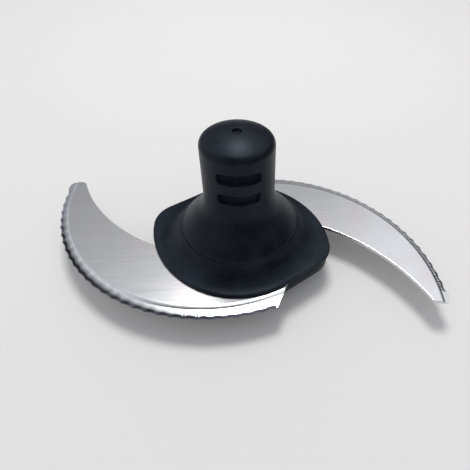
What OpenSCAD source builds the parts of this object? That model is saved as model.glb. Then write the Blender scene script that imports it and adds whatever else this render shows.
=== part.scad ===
// Food processor blade: a one-piece S-shaped steel cutter held between a tall
// domed hub and a ribbed base that carries the drive sleeve.
// The axis of the hub is Z and the foot ring stands on Z = 0.

/* [Hub] */
// Diameter of the straight stem
stem_d = 28.2; // [26:0.2:30]
// Height of the stem above the steel, up to the start of its dome
stem_h = 48; // [46:0.5:56]
// Height of the dome on the stem
dome_h = 5.6; // [4.5:0.1:7]
// Radius of the shoulder between stem and dome
shoulder_r = 3.2; // [2.8:0.1:4]
// Diameter of the bell where it meets the flange
bell_d = 48; // [46:0.2:50]
// Height of the foot of the bell above the steel
bell_foot_h = 8.2; // [7:0.1:9]
// Slope of the bell's flank, in degrees from level
bell_slope = 50; // [48:0.5:54]
// Radius of the rounding at the foot of the bell
bell_round_r = 3.2; // [3:0.1:4.5]
// Radius of the hollow between bell and stem
neck_r = 14; // [11:0.5:15]
// Width of the small ledge round the foot of the bell
ledge_w = 0.5; // [0.3:0.1:0.8]
// Wall of the moulded hub
hub_wall = 2.4; // [2:0.1:2.5]

/* [Flange] */
// Radius of the round part of the flange
flange_r = 33.2; // [32:0.2:35]
// Distance of each nose's centre from the axis
nose_reach = 26.4; // [25:0.2:28]
// Direction of the nose's centre, in degrees
nose_turn = 161; // [155:1:165]
// Radius of the nose
nose_r = 12.8; // [11:0.2:14]
// Radius of the long front side of the nose
nose_side_r = 42.5; // [41:0.5:46]
// Thickness of the flange's lip
lip_t = 1.5; // [1.3:0.1:2]
// Radius of the hollow sweep from the bell down to the lip
flare_r = 10.6; // [10.2:0.1:12.5]

/* [Grips] */
// Width of a finger groove
grip_w = 16; // [12:0.2:17]
// Height of a finger groove
grip_h = 4.5; // [4:0.1:5.2]
// Depth of a finger groove into the stem
grip_depth = 1.6; // [1:0.1:1.8]
// Radius of a finger groove's corners
grip_corner_r = 1.3; // [0.8:0.1:1.9]
// Height of the lower groove's middle above the steel
grip_low_h = 32.2; // [31.5:0.1:33]
// Distance between the middles of the grooves
grip_step = 9.3; // [8.6:0.1:10]
// Diameter of the dimple in the dome
dimple_d = 3.6; // [3:0.1:5]
// Depth of the dimple
dimple_depth = 1.2; // [0.8:0.1:1.4]

/* [Cutter] */
// Thickness of the steel
steel_t = 1.5; // [1.2:0.1:1.8]
// Radius of the outer, cutting edge of a wing
edge_r = 72.6; // [71:0.1:74]
// Distance of the cutting edge's centre from the axis, across the wings
edge_off_x = 8.8; // [8:0.1:10]
// Distance of the cutting edge's centre from the axis, along the root side
edge_off_y = 31.6; // [31:0.1:33]
// Radius of the inner edge of a wing
back_r = 81.3; // [78:0.1:86]
// How near the inner edge would pass to the axis, along the root side
back_near = 13.3; // [12:0.1:15]
// How near the inner edge would pass to the axis, sideways
back_near_x = 2.6; // [2:0.1:3.5]
// Width of the blunt tip
tip_w = 7.6; // [7:0.1:9]
// Radius of the corners of the blunt tip
tip_r = 2.2; // [1.6:0.1:2.8]
// Direction of the tip's outer corner from the cutting edge's centre, in degrees
tip_turn = 173.8; // [172:0.2:176]
// Where the root's end cut crosses the cutting edge, sideways
root_x = 12.7; // [10:0.1:14]
// Direction of the root's end cut, in degrees
root_turn = 65; // [55:1:75]
// Width of the ground band along the cutting edge
band_w = 4; // [3:0.1:4.4]
// Thickness of the steel at the cutting edge
edge_t = 0.45; // [0.35:0.05:0.6]
// Depth of the rolled shoulder where the ground band starts
roll_depth = 0.55; // [0.3:0.05:0.6]
// Width of the rolled shoulder
roll_w = 1.8; // [1.2:0.1:2.2]
// Width of a scallop with the lobe beside it
scallop_w = 5; // [4.4:0.1:6]
// Radius of a scallop
scallop_r = 2.7; // [2.4:0.1:3.2]
// Depth of a scallop
scallop_depth = 0.4; // [0.3:0.05:0.8]
// Diameter of the steel disc inside the hub
disc_d = 58; // [54:1:62]
// Diameter of the hole in the disc
disc_hole_d = 30; // [26:1:34]

/* [Base] */
// Height of the steel's underside above the table
base_h = 12; // [10:0.5:16]
// Thickness of the base's floor under the steel
floor_t = 2.4; // [2:0.1:3]
// Height of the skirt under the steel
skirt_h = 4; // [3.5:0.5:7]
// Wall of the skirt
skirt_wall = 2.2; // [1.8:0.1:2.6]
// How far the skirt stands back from the flange
skirt_back = 0.8; // [0.4:0.1:1.2]
// Diameter of the foot ring
foot_d = 42; // [38:1:46]
// Wall of the foot ring
foot_wall = 2.4; // [2:0.1:3]
// Number of ribs between sleeve and foot ring
rib_count = 8; // [4:1:10]
// Thickness of a rib
rib_t = 1.6; // [1.2:0.1:2]

/* [Drive] */
// Diameter of the bore for the spindle
bore_d = 10.4; // [9:0.1:11]
// Depth of the bore
bore_depth = 48; // [40:1:50]
// Wall of the drive sleeve
sleeve_wall = 3.4; // [3.2:0.1:3.8]
// Width of a key groove in the bore
key_w = 3; // [2:0.1:3.2]
// Depth of a key groove beyond the bore
key_depth = 1.8; // [1:0.1:2]
// Length of the key grooves from the mouth
key_len = 12; // [8:1:20]

/* [Posts] */
// Diameter of a locating post
post_d = 4; // [3:0.1:5]
// Distance of the posts from the axis
post_reach = 21; // [20:0.2:22]
// Height of a post above the steel
post_h = 4; // [3:0.1:4.6]
// Wall of the boss round a post
boss_wall = 2; // [1.6:0.1:2.4]
// Clearance between a post and its hole, and between sleeve and socket
fit_gap = 0.1; // [0.05:0.01:0.2]

/* [Hidden] */
$fn = 96;
far = 400;

stem_r = stem_d / 2;
bell_r = bell_d / 2;
steel_top = base_h + steel_t;
dome_z = steel_top + stem_h;
crease_z = steel_top + bell_foot_h;
lip_z = steel_top + lip_t;
flare_z = lip_z + flare_r;
flare_x = bell_r + ledge_w + sqrt(pow(flare_r, 2) - pow(flare_z - crease_z, 2));

// The shoulder's circle lies inside the dome's big circle and touches it
shoulder_x = stem_r - shoulder_r;
dome_r = (pow(shoulder_x, 2) + pow(dome_h, 2) - pow(shoulder_r, 2)) / (2 * (dome_h - shoulder_r));
dome_mid_z = dome_z + dome_h - dome_r;
dome_turn = atan2(shoulder_x, dome_z - dome_mid_z);

// The bell's flank touches the rounding at its foot and the hollow at the neck
foot_step = 0.4;
flank = [sin(bell_slope), cos(bell_slope)];
round_mid = [bell_r - bell_round_r, crease_z + foot_step];
flank_reach = flank * round_mid + bell_round_r;
neck_x = stem_r + neck_r;
neck_z = (flank_reach + neck_r - flank[0] * neck_x) / flank[1];
neck_mid = [neck_x, neck_z];

// Outline of one wing of the cutter
edge_mid = [-edge_off_x, edge_off_y];
tip_outer = edge_mid + (edge_r - tip_r) * unit(tip_turn);
tip_inner = tip_outer - (tip_w - 2 * tip_r) * unit(tip_turn);
back_mid = circles_cross(tip_inner, back_r + tip_r, [back_near_x, -back_near], back_r);
root_drop = sqrt(pow(edge_r, 2) - pow(root_x + edge_off_x, 2));
root_turn_from_mid = atan2(-root_drop, root_x + edge_off_x);
scallop_angle = scallop_w / edge_r * 180 / PI;
edge_sweep = root_turn_from_mid - tip_turn + 360;
scallop_count = floor(edge_sweep / scallop_angle);
scallop_start = 0.6;
wing_w = edge_r / 2;
tip_over = 0.03;

sleeve_r = bore_d / 2 + sleeve_wall;
sleeve_top = bore_depth + 2;
socket_depth = 4;
foot_r = foot_d / 2;
post_turns = [45, 135, 225, 315];

// Unit vector in the plane at a given direction
function unit(turn) = [cos(turn), sin(turn)];

// Crossing of two circles, on the left of the line from the first centre to the second
function circles_cross(a, ra, b, rb) =
    let (ab = b - a, d = norm(ab), along = (ra * ra - rb * rb + d * d) / (2 * d))
    let (up = sqrt(ra * ra - along * along), u = ab / d)
    a + along * u + up * [-u[1], u[0]];

// Outline of the flange: a disc with a nose on each side, joined by tangents
module flange_outline(inset = 0) {
    round_r = flange_r - inset;
    small_r = nose_r - inset;
    side_r = nose_side_r - inset;
    nose_mid = nose_reach * unit(nose_turn);
    side_mid = circles_cross(nose_mid, side_r - small_r, [0, 0], side_r - round_r);
    tangent = unit(nose_turn - acos((round_r - small_r) / nose_reach));
    away = unit(atan2(-side_mid[1], -side_mid[0]));
    ahead = unit(atan2(nose_mid[1] - side_mid[1], nose_mid[0] - side_mid[0]));
    circle(round_r);
    for (side = [0, 180]) rotate(side) {
        translate(nose_mid) circle(small_r);
        polygon([[0, 0], round_r * tangent, nose_mid + small_r * tangent, nose_mid]);
        intersection() {
            translate(side_mid) circle(side_r, $fn = 192);
            polygon([side_mid, side_mid + 1.4 * side_r * ahead, side_mid + 1.4 * side_r * away]);
        }
    }
}

// Points along an arc, from one direction to another
function arc(mid, r, from, to, steps = 8) =
    [for (i = [0 : steps]) mid + r * unit(from + (to - from) * i / steps)];

// Half section of stem, neck and bell, or of the hollow a wall's thickness inside
function stem_section(inset = 0) = concat(
    [[bell_r - inset, crease_z]],
    arc(round_mid, bell_round_r - inset, 0, 90 - bell_slope),
    arc(neck_mid, neck_r + inset, 270 - bell_slope, 180),
    arc([shoulder_x, dome_z], shoulder_r - inset, 0, 90 - dome_turn),
    arc([0, dome_mid_z], dome_r - inset, 90 - dome_turn, 90, 6)
);

// Half section of the flange with its hollow sweep, from the rim inwards
function flange_section() = concat(
    [[far / 4, steel_top], [far / 4, lip_z]],
    arc([flare_x, flare_z], flare_r, 270, 180 + asin((flare_z - crease_z) / flare_r), 12)
);

module hub_body() {
    intersection() {
        rotate_extrude() polygon(concat([[0, steel_top]], flange_section(), stem_section()));
        translate([0, 0, base_h]) linear_extrude(far) flange_outline();
    }
}

module hub_hollow() {
    mouth_r = bell_r + ledge_w + hub_wall / 2;
    mouth_z = lip_z + hub_wall / 2;
    rotate_extrude() polygon(concat(
        [[0, base_h], [mouth_r, base_h], [mouth_r, mouth_z], [bell_r - hub_wall, mouth_z]],
        stem_section(hub_wall)
    ));
}

module rounded_slot(w, h, r) {
    for (side = [-1, 1], level = [-1, 1])
        translate([side * (w / 2 - r), level * (h / 2 - r)]) circle(r);
    square([w - 2 * r, h], center = true);
    square([w, h - 2 * r], center = true);
}

// Finger grooves on the front and the back, with floors that follow the stem
module grips() {
    for (turn = [0, 180], level = [0, 1])
        rotate(turn) translate([0, 0, steel_top + grip_low_h + level * grip_step])
            difference() {
                rotate([90, 0, 0]) linear_extrude(2 * stem_r) rounded_slot(grip_w, grip_h, grip_corner_r);
                translate([0, 0, -grip_h]) cylinder(h = 2 * grip_h, r = stem_r - grip_depth);
            }
}

module dimple() {
    top = dome_z + dome_h;
    difference() {
        translate([0, 0, top - dimple_depth]) cylinder(h = far, d = dimple_d);
        cylinder(h = top - 0.5 * dimple_depth, d = 0.4 * dimple_d);
    }
}

module hub_shell() {
    color([0.13, 0.15, 0.18]) difference() {
        union() {
            difference() {
                hub_body();
                hub_hollow();
            }
            intersection() {
                hub_body();
                union() {
                    for (turn = post_turns)
                        rotate(turn) translate([post_reach, 0, steel_top])
                            cylinder(h = far, r = post_d / 2 + fit_gap + boss_wall);
                    translate([0, 0, sleeve_top - socket_depth])
                        cylinder(h = far, r = sleeve_r + fit_gap + boss_wall / 2);
                }
            }
        }
        for (turn = post_turns)
            rotate(turn) translate([post_reach, 0, base_h])
                cylinder(h = steel_t + post_h + 2 * fit_gap, r = post_d / 2 + fit_gap);
        cylinder(h = sleeve_top, r = sleeve_r + fit_gap);
        grips();
        dimple();
    }
}

// One wing: the crescent between two circles, cut at the root, blunt at the tip
module wing_outline() {
    outward = unit(tip_turn);
    inward = (back_mid - tip_inner) / norm(back_mid - tip_inner);
    ahead = [outward[1], -outward[0]];
    root = [root_x, edge_off_y - root_drop];
    cut = unit(root_turn);
    aside = [cut[1], -cut[0]];
    difference() {
        translate(edge_mid) circle(edge_r, $fn = 288);
        translate(back_mid) circle(back_r, $fn = 288);
        polygon([
            tip_outer, tip_outer + wing_w * outward, tip_outer + wing_w * (outward + ahead),
            tip_inner + wing_w * (inward + ahead), tip_inner + wing_w * inward, tip_inner
        ]);
        polygon([
            root - wing_w * cut, root + far * cut,
            root + far * (cut + aside), root - wing_w * cut + far * aside
        ]);
    }
    for (corner = [tip_outer, tip_inner]) translate(corner) circle(tip_r + tip_over);
    polygon([tip_outer, tip_outer + tip_r * ahead, tip_inner + tip_r * ahead, tip_inner]);
}

// The grinding wheel's path: a rolled shoulder, then a slope to the thin edge
module ground_band() {
    inner = edge_r - band_w;
    roll_r = (pow(roll_w, 2) + pow(roll_depth, 2)) / (2 * roll_depth);
    roll_turn = asin(roll_w / roll_r);
    run_out = 1.3;
    translate(edge_mid) rotate_extrude($fn = 288) polygon(concat(
        [[inner - roll_w, steel_t + 1]],
        arc([inner - roll_w, steel_t - roll_r], roll_r, 90, 90 - roll_turn, 4),
        [[inner, steel_t - roll_depth] + run_out * [band_w, edge_t - steel_t + roll_depth]],
        [[inner + run_out * band_w, steel_t + 1]]
    ));
}

module scallops() {
    reach = edge_r + scallop_r - scallop_depth;
    for (i = [0 : scallop_count - 1])
        translate(edge_mid + reach * unit(root_turn_from_mid - (i + scallop_start) * scallop_angle))
            translate([0, 0, -1]) cylinder(h = steel_t + 2, r = scallop_r, $fn = 36);
}

module wing() {
    difference() {
        linear_extrude(steel_t) wing_outline();
        ground_band();
        scallops();
    }
}

module blade_plate() {
    color([0.78, 0.79, 0.8]) translate([0, 0, base_h]) difference() {
        union() {
            for (side = [0, 180]) rotate(side) wing();
            cylinder(h = steel_t, d = disc_d);
        }
        translate([0, 0, -1]) cylinder(h = steel_t + 2, d = disc_hole_d);
        for (turn = post_turns)
            rotate(turn) translate([post_reach, 0, -1])
                cylinder(h = steel_t + 2, r = post_d / 2 + fit_gap);
    }
}

module ribs() {
    for (i = [0 : rib_count - 1])
        rotate(i * 360 / rib_count)
            translate([sleeve_r - 1, -rib_t / 2, 1])
                cube([foot_r - foot_wall - sleeve_r + 2, rib_t, base_h - floor_t]);
}

module drive_base() {
    skirt_z = base_h - skirt_h;
    color([0.11, 0.13, 0.15]) difference() {
        union() {
            difference() {
                translate([0, 0, skirt_z]) linear_extrude(skirt_h) flange_outline(skirt_back);
                translate([0, 0, skirt_z - 1])
                    linear_extrude(skirt_h - floor_t + 1) flange_outline(skirt_back + skirt_wall);
            }
            difference() {
                cylinder(h = base_h - 0.5 * floor_t, r = foot_r);
                translate([0, 0, -1])
                    cylinder(h = base_h - floor_t + 1, r = foot_r - foot_wall);
            }
            ribs();
            cylinder(h = sleeve_top, r = sleeve_r);
            for (turn = post_turns)
                rotate(turn) translate([post_reach, 0, base_h - 0.5 * floor_t])
                    cylinder(h = 0.5 * floor_t + steel_t + post_h, d = post_d);
        }
        translate([0, 0, -1]) cylinder(h = bore_depth + 1, d = bore_d);
        for (turn = [0, 180])
            rotate(turn) translate([0, -key_w / 2, -1])
                cube([bore_d / 2 + key_depth, key_w, key_len + 1]);
    }
}

hub_shell();
blade_plate();
drive_base();
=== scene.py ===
import bpy
import bmesh
import math
from mathutils import Matrix, Vector


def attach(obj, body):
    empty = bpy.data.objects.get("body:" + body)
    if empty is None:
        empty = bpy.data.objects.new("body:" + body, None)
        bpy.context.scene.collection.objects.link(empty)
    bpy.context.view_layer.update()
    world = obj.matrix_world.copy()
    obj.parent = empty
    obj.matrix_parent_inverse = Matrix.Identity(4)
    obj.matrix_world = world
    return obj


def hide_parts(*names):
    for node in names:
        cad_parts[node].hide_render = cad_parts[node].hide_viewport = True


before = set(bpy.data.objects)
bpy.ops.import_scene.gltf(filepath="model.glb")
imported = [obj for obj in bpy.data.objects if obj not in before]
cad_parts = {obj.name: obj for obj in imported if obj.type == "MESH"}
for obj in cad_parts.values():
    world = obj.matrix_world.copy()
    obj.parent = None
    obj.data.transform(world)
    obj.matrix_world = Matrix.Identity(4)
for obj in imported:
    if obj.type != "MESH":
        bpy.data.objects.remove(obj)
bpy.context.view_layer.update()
mm = 0.001
print("frame loaded:", ", ".join(sorted(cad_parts)))


class Wire:
    # one socket of a node tree, ready for sums
    def __init__(self, paint, socket):
        self.paint = paint
        self.socket = socket

    def maths(self, operation, first, second):
        return self.paint.node("ShaderNodeMath", {"operation": operation}, {0: first, 1: second})

    def __add__(self, other):
        return self.maths("ADD", self, other)

    def __sub__(self, other):
        return self.maths("SUBTRACT", self, other)

    def __mul__(self, other):
        return self.maths("MULTIPLY", self, other)

    def __rsub__(self, other):
        return self.maths("SUBTRACT", other, self)

    __radd__ = __add__
    __rmul__ = __mul__


class Paint:
    # a material or world, and the one way in which its nodes are made
    def __init__(self, owner):
        owner.use_nodes = True
        self.owner = owner
        self.tree = owner.node_tree
        self.tree.nodes.clear()

    def node(self, kind, settings=None, values=None, out=0):
        made = self.tree.nodes.new(kind)
        for name, value in (settings or {}).items():
            if name == "stops":
                for spare in list(made.color_ramp.elements)[1:]:
                    made.color_ramp.elements.remove(spare)
                for i, (place, shade) in enumerate(value):
                    stop = made.color_ramp.elements[0] if i == 0 else made.color_ramp.elements.new(place)
                    stop.position = place
                    stop.color = (shade, shade, shade, 1)
            else:
                setattr(made, name, value)
        for name, value in (values or {}).items():
            socket = made.inputs[name]
            if isinstance(value, Wire):
                self.tree.links.new(value.socket, socket)
            else:
                socket.default_value = value
        return Wire(self, made.outputs[out]) if made.outputs else made

    def place(self):
        return self.node("ShaderNodeTexCoord", out="Object")

    def part(self, vector, axis):
        return self.node("ShaderNodeSeparateXYZ", None, {"Vector": vector}, out=axis)

    def stretched(self, vector, x, y, z):
        return self.node("ShaderNodeMapping", None, {"Vector": vector, "Scale": (x, y, z)})

    def noise(self, vector, scale, detail=2.0, roughness=0.5):
        return self.node("ShaderNodeTexNoise", None,
                         {"Vector": vector, "Scale": scale, "Detail": detail, "Roughness": roughness})

    def ramp(self, value, stops):
        return self.node("ShaderNodeValToRGB", {"stops": stops}, {"Fac": value})

    def rise(self, value, low, high, top=1.0):
        # goes smoothly from nothing at low to top at high
        return self.node("ShaderNodeMapRange", {"interpolation_type": "SMOOTHSTEP"},
                         {"Value": value, "From Min": low, "From Max": high, "To Max": top})

    def mix(self, factor, first, second):
        return self.node("ShaderNodeMix", {"data_type": "RGBA"},
                         {0: factor, 6: (*first, 1) if isinstance(first, tuple) else first,
                          7: (*second, 1) if isinstance(second, tuple) else second}, out=2)

    def bump(self, height, strength, distance):
        return self.node("ShaderNodeBump", None, {"Height": height, "Strength": strength, "Distance": distance})

    def finish(self, values):
        shader = self.node("ShaderNodeBsdfPrincipled", None, values)
        self.node("ShaderNodeOutputMaterial", None, {"Surface": shader})
        return self.owner


plasticLook = {
    "shade": (0.0034, 0.0056, 0.0098),      # deep blue-black
    "shadeWorn": (0.0105, 0.0145, 0.0215),  # where hands have dulled it
    "shadeDust": (0.020, 0.024, 0.032),
    "roughness": 0.40,
    "roughnessSpread": 0.12,
    "gloss": 0.16,
    "glossTint": (0.74, 0.86, 1.0),
    "grainSize": 0.28 * mm,
    "grainHeight": 0.012 * mm,
}


def mouldedPlastic(name, look):
    paint = Paint(bpy.data.materials.new(name))
    place = paint.place()
    clouds = paint.noise(place, 1 / (14 * mm), 4, 0.6)
    streaks = paint.noise(paint.stretched(place, 1, 1, 0.25), 1 / (1.4 * mm), 3, 0.7)
    grain = paint.noise(place, 1 / look["grainSize"], 2, 0.6)
    worn = paint.ramp(clouds, [(0.42, 0.0), (0.68, 1.0)])
    dust = paint.ramp(paint.noise(place, 1 / (0.7 * mm), 5, 0.75), [(0.52, 0.0), (0.74, 1.0)])
    colour = paint.mix(worn, look["shade"], look["shadeWorn"])
    return paint.finish({
        "Base Color": paint.mix(dust, colour, look["shadeDust"]),
        "Roughness": look["roughness"] + (clouds - 0.5) * look["roughnessSpread"] + (streaks - 0.5) * 0.08,
        "Normal": paint.bump(grain, 0.55, look["grainHeight"]),
        "IOR": 1.5,
        "Specular IOR Level": look["gloss"],
        "Specular Tint": (*look["glossTint"], 1),
    })


hubPlastic = mouldedPlastic("hubPlastic", plasticLook)
basePlastic = mouldedPlastic("basePlastic", {**plasticLook, "roughness": 0.46})
groovePlastic = mouldedPlastic("groovePlastic", {**plasticLook, "gloss": 0.05, "roughness": 0.6})

steelLook = {
    "shade": (0.70, 0.70, 0.71),
    "shadeStain": (0.66, 0.63, 0.64),
    "roughness": 0.25,
    "brushLength": 22 * mm,
    "brushWidth": 0.16 * mm,
    "brushHeight": 0.0022 * mm,
    "groundShade": (0.64, 0.65, 0.67),
    "groundShadeBright": (0.80, 0.80, 0.81),
    "groundRoughness": 0.24,
    "groundMark": 0.22 * mm,                # from one grinding mark to the next
    "groundHeight": 0.004 * mm,
}


def brushedSteel(name, look):
    paint = Paint(bpy.data.materials.new(name))
    place = paint.place()
    across = 1 / look["brushWidth"]
    brush = paint.noise(paint.stretched(place, 1 / look["brushLength"], across, across), 1.0, 3, 0.6)
    pits = paint.noise(place, 1 / (0.35 * mm), 2, 0.6)
    clouds = paint.noise(place, 1 / (16 * mm), 3, 0.5)
    stain = paint.ramp(clouds, [(0.45, 0.0), (0.7, 1.0)])
    return paint.finish({
        "Base Color": paint.mix(stain, look["shade"], look["shadeStain"]),
        "Metallic": 1.0,
        "Roughness": look["roughness"] + (brush - 0.5) * 0.16 + (clouds - 0.5) * 0.10,
        "Normal": paint.bump(brush + pits * 0.35, 0.6, look["brushHeight"]),
    })


def groundSteel(name, middle, radius, look):
    # grinding marks run across the band, so they follow the angle round the cutting edge's own centre
    paint = Paint(bpy.data.materials.new(name))
    place = paint.place()
    across = paint.part(place, "X") - middle[0] * mm
    upward = paint.part(place, "Y") - middle[1] * mm
    angle = across.maths("ARCTAN2", upward, across)
    marks = paint.node("ShaderNodeTexNoise", {"noise_dimensions": "1D"},
                       {"W": angle * (radius * mm / look["groundMark"]), "Scale": 1.0, "Roughness": 0.6})
    clouds = paint.noise(place, 1 / (9 * mm))
    return paint.finish({
        "Base Color": paint.mix(marks, look["groundShade"], look["groundShadeBright"]),
        "Metallic": 1.0,
        "Roughness": look["groundRoughness"] + (marks - 0.5) * 0.22 + (clouds - 0.5) * 0.08,
        "Normal": paint.bump(marks, 0.7, look["groundHeight"]),
    })


def newPiece(name, mesh, materials, smoothAngle, node):
    for finish in materials:
        mesh.materials.append(finish)
    mesh.polygons.foreach_set("use_smooth", [True] * len(mesh.polygons))
    mesh.set_sharp_from_angle(angle=math.radians(smoothAngle))
    # level faces stay flat, or the rounded edges beside them would tilt their shading
    mesh.polygons.foreach_set("use_smooth", [abs(face.normal.z) < 0.9999 for face in mesh.polygons])
    piece = bpy.data.objects.new(name, mesh)
    bpy.context.scene.collection.objects.link(piece)
    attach(piece, "root")
    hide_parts(node)
    return piece


def meshFrom(work, name):
    bmesh.ops.recalc_face_normals(work, faces=work.faces)
    mesh = bpy.data.meshes.new(name)
    work.to_mesh(mesh)
    work.free()
    return mesh


def mergedCopy(nodeName, flatAngle):
    # a CAD node's mesh is loose triangles: merge them, then join those that lie in one plane
    work = bmesh.new()
    work.from_mesh(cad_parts[nodeName].data)
    bmesh.ops.remove_doubles(work, verts=work.verts, dist=0.0005 * mm)
    bmesh.ops.dissolve_limit(work, angle_limit=math.radians(flatAngle), verts=work.verts, edges=work.edges)
    return work


def unit(turn):
    return Vector((math.cos(math.radians(turn)), math.sin(math.radians(turn))))


def arcPoints(centre, radius, start, end, steps):
    return [Vector(centre) + radius * unit(start + (end - start) * i / steps) for i in range(steps + 1)]


def linePoints(first, last, step):
    # the points between two ends, without the ends
    count = max(1, round((last - first).length / step))
    return [first.lerp(last, i / count) for i in range(1, count)]


def smoothStep(low, high, value):
    t = min(max((value - low) / (high - low), 0), 1)
    return t * t * (3 - 2 * t)


# the domed hub, all in mm
hub = {
    "stemRadius": 14.1,
    "steelTop": 13.5,
    "lipTop": 15.0,
    "bellRadius": 24.0,
    "ledge": 0.5,
    "creaseHeight": 21.7,
    "flareRadius": 10.6,
    "beadRadius": 0.5,
    "bellRound": (20.8, 22.1, 3.2),     # centre across, centre up, radius
    "bellSlope": 50,
    "neckRadius": 14.0,
    "shoulder": (10.9, 61.5, 3.2),
    "domeTop": 67.1,
    "dimpleRadius": 1.8,
    "dimpleDepth": 1.2,
    "flangeRadius": 33.2,
    "noseReach": 26.4,
    "noseTurn": 161,
    "noseRadius": 12.8,
    "noseSideRadius": 42.5,
    "lipRound": 0.45,
    "gripWidth": 16.0,
    "gripHeight": 4.5,
    "gripCorner": 1.3,
    "gripDepth": 1.6,
    "gripLevels": (45.7, 55.0),
    "hollow": [(25.7, 13.5), (25.7, 16.2), (21.6, 16.2), (21.6, 22.1), (21.41, 22.61), (15.54, 29.62),
               (13.9, 31.96), (12.26, 35.9), (11.7, 40.16), (11.7, 61.5), (11.3, 62.3)],
    "turns": 320,
}

flareMiddle = Vector((hub["bellRadius"] + hub["ledge"] + math.sqrt(
    hub["flareRadius"] ** 2 - (hub["lipTop"] + hub["flareRadius"] - hub["creaseHeight"]) ** 2),
    hub["lipTop"] + hub["flareRadius"]))


def flareHeight(radius):
    # the hollow sweep from the bell down to the lip
    short = max(flareMiddle.x - radius, 0)
    return flareMiddle.y - math.sqrt(hub["flareRadius"] ** 2 - short ** 2)


def circlesCross(a, ra, b, rb):
    span = b - a
    reach = span.length
    along = (ra * ra - rb * rb + reach * reach) / (2 * reach)
    up = math.sqrt(ra * ra - along * along)
    u = span / reach
    return a + along * u + up * Vector((-u.y, u.x))


def rayToCircle(direction, centre, radius):
    near = direction.dot(centre)
    inside = near * near - centre.length_squared + radius * radius
    return near + math.sqrt(inside) if inside > 0 else 0


def flangeReach(turn):
    # distance from the axis to the flange's rim in one direction
    best = hub["flangeRadius"]
    direction = unit(turn)
    for half in (0, 180):
        nose = hub["noseReach"] * unit(hub["noseTurn"] + half)
        sideGap = hub["noseSideRadius"] - hub["noseRadius"]
        side = circlesCross(nose, sideGap, Vector((0, 0)), hub["noseSideRadius"] - hub["flangeRadius"])
        best = max(best, rayToCircle(direction, nose, hub["noseRadius"]))
        ahead = math.degrees(math.atan2(*(nose - side).yx))
        away = math.degrees(math.atan2(*(-side).yx))
        reach = rayToCircle(direction, side, hub["noseSideRadius"])
        hit = direction * reach - side
        hitTurn = math.degrees(math.atan2(hit.y, hit.x))
        sweep = (away - ahead) % 360
        if (hitTurn - ahead) % 360 <= sweep and sweep < 180:
            best = max(best, reach)
        elif (ahead - hitTurn) % 360 <= 360 - sweep and sweep >= 180:
            best = max(best, reach)
        # straight tangent on the other side
        tangent = hub["noseTurn"] + half - math.degrees(
            math.acos((hub["flangeRadius"] - hub["noseRadius"]) / hub["noseReach"]))
        start = hub["flangeRadius"] * unit(tangent)
        end = nose + hub["noseRadius"] * unit(tangent)
        cross = direction.x * (end - start).y - direction.y * (end - start).x
        if abs(cross) > 1e-9:
            reach = (start.x * (end - start).y - start.y * (end - start).x) / cross
            share = (start.x * direction.y - start.y * direction.x) / cross
            if reach > 0 and 0 <= share <= 1:
                best = max(best, reach)
    return best


def stemPoints(low, high):
    # rows up the straight stem, close together where a finger groove starts or ends
    half = hub["gripHeight"] / 2
    rims = [level + side * half for level in hub["gripLevels"] for side in (-1, 1)]
    points, z = [], low
    while z < high - 0.2:
        z += 0.1 if min(abs(z - rim) for rim in rims) < 0.5 else 0.4
        points.append(Vector((hub["stemRadius"], z)))
    return points


def hubProfile():
    # outer line of the hub, from the foot of the lip up to the pole
    rim, lip, top = hub["flangeRadius"], hub["lipRound"], hub["domeTop"]
    slope = hub["bellSlope"]
    roundX, roundZ, roundR = hub["bellRound"]
    neckX = hub["stemRadius"] + hub["neckRadius"]
    flank = Vector((math.sin(math.radians(slope)), math.cos(math.radians(slope))))
    neckZ = (flank.dot(Vector((roundX, roundZ))) + roundR + hub["neckRadius"] - flank.x * neckX) / flank.y
    shoulderX, shoulderZ, shoulderR = hub["shoulder"]
    rise = top - shoulderZ
    domeR = (shoulderX ** 2 + rise ** 2 - shoulderR ** 2) / (2 * (rise - shoulderR))
    domeZ = top - domeR
    domeTurn = math.degrees(math.atan2(shoulderX, shoulderZ - domeZ))
    line = [(rim - 0.25, hub["steelTop"]), (rim, hub["steelTop"] + 0.25)]
    line += arcPoints((rim - lip, flareHeight(rim) - lip), lip, 0, 90, 5)
    bead = hub["beadRadius"]
    beadZ = hub["creaseHeight"] - bead
    beadX = flareMiddle.x - math.sqrt((hub["flareRadius"] + bead) ** 2 - (flareMiddle.y - beadZ) ** 2)
    beadTurn = math.degrees(math.atan2(flareMiddle.y - beadZ, flareMiddle.x - beadX))
    beadArc = arcPoints((beadX, beadZ), bead, beadTurn, 88, 5)
    line += [(radius, flareHeight(radius)) for radius in
             (rim - lip + (beadArc[0].x - rim + lip) * i / 26 for i in range(1, 26))]
    line += beadArc + [(hub["bellRadius"] + 0.04, hub["creaseHeight"] + 0.1)]
    foot = arcPoints((roundX, roundZ), roundR, 2, 90 - slope, 9)
    neck = arcPoints((neckX, neckZ), hub["neckRadius"], 270 - slope, 180, 18)
    line += foot + linePoints(foot[-1], neck[0], 0.8) + neck
    line += stemPoints(neckZ, shoulderZ)
    line += arcPoints((shoulderX, shoulderZ), shoulderR, 0, 90 - domeTurn, 9)
    dimple, floor = hub["dimpleRadius"], top - hub["dimpleDepth"]
    edgeTurn = math.degrees(math.acos((dimple + 0.35) / domeR))
    line += arcPoints((0, domeZ), domeR, 90 - domeTurn, edgeTurn, 14)[1:]
    line += [(dimple + 0.1, top - 0.1), (dimple - 0.05, top - 0.3), (dimple - 0.15, floor + 0.25),
             (dimple - 0.35, floor + 0.02), (dimple - 0.9, floor), (0.72, floor + 0.12), (0.6, floor + 0.5),
             (0.4, floor + 0.6), (0, floor + 0.62)]
    return line


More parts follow.
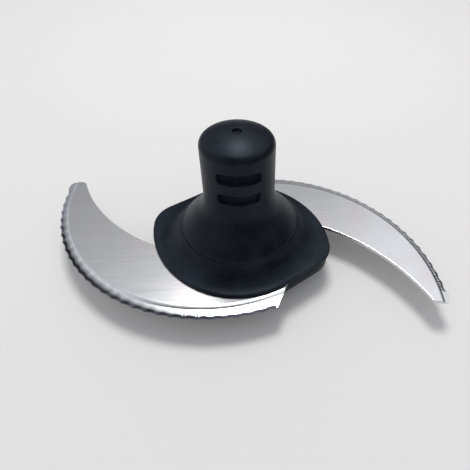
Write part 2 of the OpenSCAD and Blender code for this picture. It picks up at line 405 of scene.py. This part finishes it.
def grooveSink(x, z):
    # how deep a finger groove is here; its outline is a rectangle with rounded corners
    sink = 0
    corner = hub["gripCorner"]
    for level in hub["gripLevels"]:
        dx = abs(x) - hub["gripWidth"] / 2 + corner
        dz = abs(z - level) - hub["gripHeight"] / 2 + corner
        away = math.hypot(max(dx, 0), max(dz, 0)) + min(max(dx, dz), 0) - corner
        sink = max(sink, hub["gripDepth"] * smoothStep(0.12, -0.4, away))
    return sink


def makeHub():
    work = bmesh.new()
    points = [work.verts.new((x * mm, 0, z * mm)) for x, z in hubProfile()]
    edges = [work.edges.new(pair) for pair in zip(points, points[1:])]
    bmesh.ops.spin(work, geom=points + edges, cent=(0, 0, 0), axis=(0, 0, 1), angle=math.tau,
                   steps=hub["turns"], use_merge=True)
    bmesh.ops.remove_doubles(work, verts=work.verts, dist=0.002 * mm)
    step, rim, foot = hub["bellRadius"] + hub["ledge"], hub["flangeRadius"], hub["steelTop"]
    lipZone = 1.2
    reaches = {}
    for vert in work.verts:
        radius = vert.co.xy.length / mm
        z = vert.co.z / mm
        if radius > step and z < hub["creaseHeight"]:
            turn = round(math.degrees(math.atan2(vert.co.y, vert.co.x)), 3)
            if turn not in reaches:
                reaches[turn] = flangeReach(turn)
            if radius > rim - lipZone:
                wide = radius - rim + reaches[turn]
            else:
                wide = step + (radius - step) * (reaches[turn] - lipZone - step) / (rim - lipZone - step)
            z = foot + (z - foot) * (flareHeight(wide) - foot) / (flareHeight(radius) - foot)
            vert.co = Vector((*(vert.co.xy.normalized() * wide), z)) * mm
        elif abs(radius - hub["stemRadius"]) < 0.02:
            sink = grooveSink(vert.co.x / mm, z)
            vert.co = Vector((*(vert.co.xy.normalized() * (radius - sink)), z)) * mm
    for radius, height in hub["hollow"]:
        ring = [e for e in work.edges if e.is_boundary]
        inner = bmesh.ops.extrude_edge_only(work, edges=ring)["geom"]
        for vert in (v for v in inner if isinstance(v, bmesh.types.BMVert)):
            vert.co = Vector((*(vert.co.xy.normalized() * radius), height)) * mm
    bmesh.ops.contextual_create(work, geom=[e for e in work.edges if e.is_boundary])
    mesh = meshFrom(work, "hubMoulding")
    for face in mesh.polygons:
        spot = face.center / mm
        inGroove = abs(spot.y) > 8 and spot.xy.length > 12 and grooveSink(spot.x, spot.z) > 0.6 * hub["gripDepth"]
        face.material_index = int(inGroove)
    return newPiece("hubMoulding", mesh, [hubPlastic, groovePlastic], 32, "hub_shell")


makeHub()
print("hub made")

# the S-shaped cutter, all in mm
cutter = {
    "steelFoot": 12.0,
    "steelTop": 13.5,
    "edgeRadius": 72.6,
    "edgeMiddle": (-8.8, 31.6),
    "backRadius": 81.3,
    "backNear": (2.6, -13.3),
    "tipTurn": 173.8,
    "tipWidth": 7.6,
    "tipCorner": 2.2,
    "rootAcross": 12.7,
    "rootTurn": 65,
    "discRadius": 29.0,
    "holeRadius": 15.0,
    "postReach": 21.0,
    "postHoleRadius": 2.1,
    "topBreak": 0.16,
    "bandWidth": 4.0,
    "bandDrop": 0.55,
    "bandShift": 1.6,           # the ground band narrows towards the tip
    "rollWidth": 1.8,           # of the rolled shoulder beside the band
    "edgeThick": 0.55,
    "scallopStep": 5.0,
    "scallopStart": 0.6,
    "biteRadius": 6.4,
    "biteDepth": 0.48,          # at the steel's underside
    "biteLean": 1.35,           # how far a bite moves inwards for its rise
    "teeth": 7,                 # in each scallop
    "slotDepth": 1.8,
}
leftMiddle = Vector(cutter["edgeMiddle"])
rootEdgeTurn = -math.degrees(math.acos((cutter["rootAcross"] - leftMiddle.x) / cutter["edgeRadius"]))
bandLeft = groundSteel("groundBandLeft", leftMiddle, cutter["edgeRadius"], steelLook)
bandRight = groundSteel("groundBandRight", -leftMiddle, cutter["edgeRadius"], steelLook)
cutterSteel = brushedSteel("cutterSteel", steelLook)
# darker steel for the steep bite faces: painted shade, standing in for the shade that falls on these faces
toothSteelPaintedShade = brushedSteel("toothSteelPaintedShade", {**steelLook, "shade": (0.46, 0.49, 0.54), "shadeStain": (0.36, 0.38, 0.43)})


def turnOf(way):
    return math.degrees(math.atan2(way.y, way.x))


def wingOutline():
    # from the root's corner along the cutting edge, round the blunt tip, back to the disc and on to the other root
    tip, corner, disc = cutter["tipTurn"], cutter["tipCorner"], cutter["discRadius"]
    line = arcPoints(leftMiddle, cutter["edgeRadius"], rootEdgeTurn, tip - 360, 160)
    outer = leftMiddle + (cutter["edgeRadius"] - corner) * unit(tip)
    inner = outer - (cutter["tipWidth"] - 2 * corner) * unit(tip)
    back = circlesCross(inner, cutter["backRadius"] + corner, Vector(cutter["backNear"]), cutter["backRadius"])
    line += arcPoints(outer, corner, tip, tip - 90, 8)[1:]
    line += arcPoints(inner, corner, tip - 90, turnOf(back - inner), 8)
    meet = circlesCross(Vector((0, 0)), disc, back, cutter["backRadius"])
    line += arcPoints(back, cutter["backRadius"], turnOf(inner - back), turnOf(meet - back), 90)[1:]
    root, cut = line[0], unit(cutter["rootTurn"])
    along = -root.dot(cut) - math.sqrt(root.dot(cut) ** 2 - root.length_squared + disc ** 2)
    line += arcPoints((0, 0), disc, turnOf(meet), turnOf(-root - along * cut) - 360, 20)[1:]
    return line


def bothSides(work):
    # the second wing is the first one turned half round
    both = bmesh.ops.duplicate(work, geom=work.verts[:] + work.edges[:] + work.faces[:])["geom"]
    other = [g for g in both if isinstance(g, bmesh.types.BMVert)]
    bmesh.ops.rotate(work, cent=(0, 0, 0), matrix=Matrix.Rotation(math.pi, 3, "Z"), verts=other)


def makePlate():
    work = bmesh.new()
    half = wingOutline()
    corners = [work.verts.new(Vector((*point, cutter["steelFoot"])) * mm) for point in half + [-p for p in half]]
    for pair in zip(corners, corners[1:] + corners[:1]):
        work.edges.new(pair)
    bmesh.ops.contextual_create(work, geom=work.edges[:])
    lifted = bmesh.ops.extrude_face_region(work, geom=work.faces[:])["geom"]
    bmesh.ops.translate(work, vec=(0, 0, (cutter["steelTop"] - cutter["steelFoot"]) * mm),
                        verts=[g for g in lifted if isinstance(g, bmesh.types.BMVert)])
    bmesh.ops.holes_fill(work, edges=[e for e in work.edges if e.is_boundary])
    bmesh.ops.recalc_face_normals(work, faces=work.faces)
    high = cutter["steelTop"] - 0.1
    topEdges = [e for e in work.edges if min(v.co.z for v in e.verts) > high * mm]
    bmesh.ops.bevel(work, geom=topEdges, offset=cutter["topBreak"] * mm, offset_type="OFFSET", affect="EDGES",
                    segments=3, profile=0.5, material=-1, clamp_overlap=True)
    return meshFrom(work, "cutterPlate")


def makeWheelPath():
    # what the band's grinding wheel takes off, and the holes in the disc
    work = bmesh.new()
    top, drop, roll = cutter["steelTop"], cutter["bandDrop"], cutter["rollWidth"]
    middle = leftMiddle - Vector((cutter["bandShift"], 0))
    inner = cutter["edgeRadius"] - cutter["bandWidth"]
    slope = (cutter["steelTop"] - drop - cutter["steelFoot"] - cutter["edgeThick"]) / cutter["bandWidth"]
    rollRadius = (roll ** 2 + drop ** 2) / (2 * drop)
    rollTurn = math.degrees(math.asin(roll / rollRadius))
    runOut = cutter["bandWidth"] + 4
    line = [Vector((inner - roll, top + 1))]
    line += arcPoints((inner - roll, top - rollRadius), rollRadius, 90, 90 - rollTurn, 7)
    line += [Vector((inner + runOut, top - drop - slope * runOut)), Vector((inner + runOut, top + 1))]
    start, end = rootEdgeTurn + 8, cutter["tipTurn"] - 360 - 10
    points = [work.verts.new(Vector((*(middle + p.x * unit(start)), p.y)) * mm) for p in line]
    edges = [work.edges.new(pair) for pair in zip(points, points[1:] + points[:1])]
    bmesh.ops.spin(work, geom=points + edges, cent=Vector((*middle, 0)) * mm, axis=(0, 0, 1),
                   angle=math.radians(end - start), steps=180, use_merge=False)
    bmesh.ops.holes_fill(work, edges=[e for e in work.edges if e.is_boundary])
    bothSides(work)
    holes = [((0, 0), cutter["holeRadius"])]
    holes += [(cutter["postReach"] * unit(turn), cutter["postHoleRadius"]) for turn in (45, 135, 225, 315)]
    for place, radius in holes:
        drill = bmesh.ops.create_cone(work, segments=64, cap_ends=True, depth=4 * mm,
                                      radius1=radius * mm, radius2=radius * mm)["verts"]
        bmesh.ops.translate(work, vec=Vector((*place, cutter["steelFoot"])) * mm, verts=drill)
    return meshFrom(work, "wheelPath")


def makeBites():
    # for every scallop a leaning prism, whose fluted inner side leaves a sloping toothed face
    work = bmesh.new()
    radius, step, foot = cutter["biteRadius"], cutter["scallopStep"], cutter["steelFoot"]
    turnStep = math.degrees(step / cutter["edgeRadius"])
    halfTurn = math.degrees(math.asin((step / 2 + 0.12) / radius))
    outside = 3.0
    for i in range(math.floor(((rootEdgeTurn - cutter["tipTurn"]) % 360) / turnStep)):
        turn = rootEdgeTurn - (i + cutter["scallopStart"]) * turnStep
        rings = []
        for height, slot in ((-0.2, 0), (1.4, cutter["slotDepth"])):
            inward = cutter["biteDepth"] + cutter["biteLean"] * height
            arc = arcPoints((radius, 0), radius, 180 - halfTurn, 180 + halfTurn, 2 * cutter["teeth"])
            ring = [Vector((p.x - inward - slot * (k % 2), p.y, foot + height)) for k, p in enumerate(arc)]
            ring += [Vector((outside, ring[k].y, foot + height)) for k in (-1, 0)]
            rings.append([work.verts.new(p * mm) for p in ring])
        lower, upper = rings
        work.faces.new(lower)
        work.faces.new(upper)
        for k in range(len(lower)):
            work.faces.new((lower[k - 1], lower[k], upper[k], upper[k - 1]))
        bmesh.ops.rotate(work, cent=(0, 0, 0), matrix=Matrix.Rotation(math.radians(turn), 3, "Z"),
                         verts=lower + upper)
        place = leftMiddle + cutter["edgeRadius"] * unit(turn)
        bmesh.ops.translate(work, vec=Vector((*place, 0)) * mm, verts=lower + upper)
    bothSides(work)
    return meshFrom(work, "bites")


def makeCutter():
    drafts = [bpy.data.objects.new(mesh.name, mesh) for mesh in (makePlate(), makeWheelPath(), makeBites())]
    for draft in drafts:
        bpy.context.scene.collection.objects.link(draft)
    plate = drafts[0]
    for tool in drafts[1:]:
        cut = plate.modifiers.new(tool.name, "BOOLEAN")
        cut.operation = "DIFFERENCE"
        cut.object = tool
        cut.solver = "EXACT"
        cut.use_self = True         # neighbouring bites overlap
    bpy.context.view_layer.update()
    mesh = bpy.data.meshes.new_from_object(plate.evaluated_get(bpy.context.evaluated_depsgraph_get()))
    for draft in drafts:
        bpy.data.objects.remove(draft)
    mesh.materials.clear()
    inner = cutter["edgeRadius"] - cutter["bandWidth"] - cutter["rollWidth"] - 0.1
    for face in mesh.polygons:
        spot = face.center / mm
        side = 1 if spot.x + spot.y < 0 else -1
        wheel = side * (leftMiddle - Vector((cutter["bandShift"], 0)))
        ground = (spot.xy - wheel).length > inner and 0.02 < face.normal.z < 0.9998
        # ground faces steeper than the band take the darker tooth steel, which is painted shade
        band = 3 if face.normal.z < 0.8 else 1 if side > 0 else 2
        face.material_index = band if ground else 0
    materials = [cutterSteel, bandLeft, bandRight, toothSteelPaintedShade]
    return newPiece("cutterSteelPlate", mesh, materials, 25, "blade_plate")


makeCutter()
print("cutter made")

base = {"edgeBreak": 0.3, "segments": 2, "sharpAngle": 40}


def makeBase():
    work = mergedCopy("drive_base", 0.6)
    sharp = [e for e in work.edges
             if len(e.link_faces) == 2 and e.calc_face_angle(0) > math.radians(base["sharpAngle"])]
    bmesh.ops.bevel(work, geom=sharp, offset=base["edgeBreak"] * mm, offset_type="OFFSET", affect="EDGES",
                    segments=base["segments"], profile=0.5, material=-1, clamp_overlap=True, loop_slide=True)
    return newPiece("baseMoulding", meshFrom(work, "baseMoulding"), [basePlastic], 30, "drive_base")


makeBase()
print("base made")

studio = {
    "floorShade": (0.760, 0.748, 0.735),
    "keyPower": 5.2,
    "keySize": 0.34,
    "keyFar": 1.0,
    "keyTurn": 86,           # the soft lamp hangs behind the object, a little to the right
    "keyRise": 71,
    "skyTint": (0.97, 0.99, 1.03),
    "skyUp": 0.80,           # how the room's light grows with height and towards the back
    "skyBack": 0.17,
    "skyDark": 0.21,
    "window": 0.55,          # windows on the left and on the right
    "windowRight": 0.62,
    "frontFade": (-0.5, 0.0),   # the room in front of the object is dark
    "ambient": 0.57,         # even light that keeps the shadows open
}


def makeFloor():
    work = bmesh.new()
    bmesh.ops.create_grid(work, x_segments=4, y_segments=4, size=2.5)
    paint = Paint(bpy.data.materials.new("floorCloth"))
    weave = paint.noise(paint.place(), 1 / (0.6 * mm))
    pale = tuple(c * 1.02 for c in studio["floorShade"])
    finish = paint.finish({
        "Base Color": paint.mix(weave, studio["floorShade"], pale),
        "Roughness": 0.9,
        "Specular IOR Level": 0.1,
    })
    floor = bpy.data.objects.new("floor", meshFrom(work, "floor"))
    floor.data.materials.append(finish)
    bpy.context.scene.collection.objects.link(floor)


def makeSky():
    sky = Paint(bpy.data.worlds.new("sky"))
    bpy.context.scene.world = sky.owner
    way = sky.node("ShaderNodeTexCoord", out="Generated")
    roof = sky.part(way, "Z") * studio["skyUp"] + sky.part(way, "Y") * studio["skyBack"] - studio["skyDark"]
    window = sky.rise(0 - sky.part(way, "X"), 0.42, 0.68, studio["window"])
    windowRight = sky.rise(sky.part(way, "X"), 0.16, 0.36, studio["windowRight"])
    windowRight = windowRight * sky.rise(sky.part(way, "Z"), 0.48, 0.64)
    glow = roof.maths("MAXIMUM", roof, 0) * sky.rise(sky.part(way, "Y"), *studio["frontFade"])
    glow = glow + window + windowRight
    room = sky.node("ShaderNodeBackground", None, {"Color": (*studio["skyTint"], 1), "Strength": glow})
    behind = sky.node("ShaderNodeBackground", None, {"Color": (*studio["floorShade"], 1)})
    even = sky.node("ShaderNodeBackground", None, {"Color": (*studio["skyTint"], 1), "Strength": studio["ambient"]})
    mirrored = sky.node("ShaderNodeLightPath", out="Is Glossy Ray")
    seen = sky.node("ShaderNodeLightPath", out="Is Camera Ray")
    light = sky.node("ShaderNodeMixShader", None, {0: mirrored, 1: even, 2: room})
    light = sky.node("ShaderNodeMixShader", None, {0: seen, 1: light, 2: behind})
    sky.node("ShaderNodeOutputWorld", None, {"Surface": light})


def makeLamp():
    lamp = bpy.data.lights.new("keyLamp", "AREA")
    lamp.shape = "DISK"
    lamp.size = studio["keySize"]
    lamp.energy = studio["keyPower"]
    key = bpy.data.objects.new("keyLamp", lamp)
    rise = math.radians(studio["keyRise"])
    key.location = studio["keyFar"] * Vector((*(unit(studio["keyTurn"]) * math.cos(rise)), math.sin(rise)))
    key.rotation_euler = key.location.to_track_quat("Z", "Y").to_euler()
    bpy.context.scene.collection.objects.link(key)


def makeCamera():
    pitch, yaw, roll = 0.7275, 0.1682, 0.0716
    ahead = Vector((math.sin(yaw) * math.cos(pitch), math.cos(yaw) * math.cos(pitch), -math.sin(pitch)))
    right = Vector((math.cos(yaw), -math.sin(yaw), 0))
    up = right.cross(ahead)
    sideways = math.cos(roll) * right + math.sin(roll) * up
    upright = math.cos(roll) * up - math.sin(roll) * right
    lens = bpy.data.cameras.new("camera")
    lens.sensor_width = 36
    lens.lens = 32.68
    lens.shift_x = -0.1246
    lens.shift_y = -0.0702
    lens.clip_start = 0.01
    camera = bpy.data.objects.new("camera", lens)
    turn = Matrix((sideways, upright, -ahead)).transposed().to_4x4()
    camera.matrix_world = Matrix.Translation((0, -0.13102, 0.15015)) @ turn
    bpy.context.scene.collection.objects.link(camera)
    bpy.context.scene.camera = camera


makeFloor()
makeSky()
makeLamp()
makeCamera()
bpy.context.scene.view_settings.view_transform = "Standard"
print("studio made")
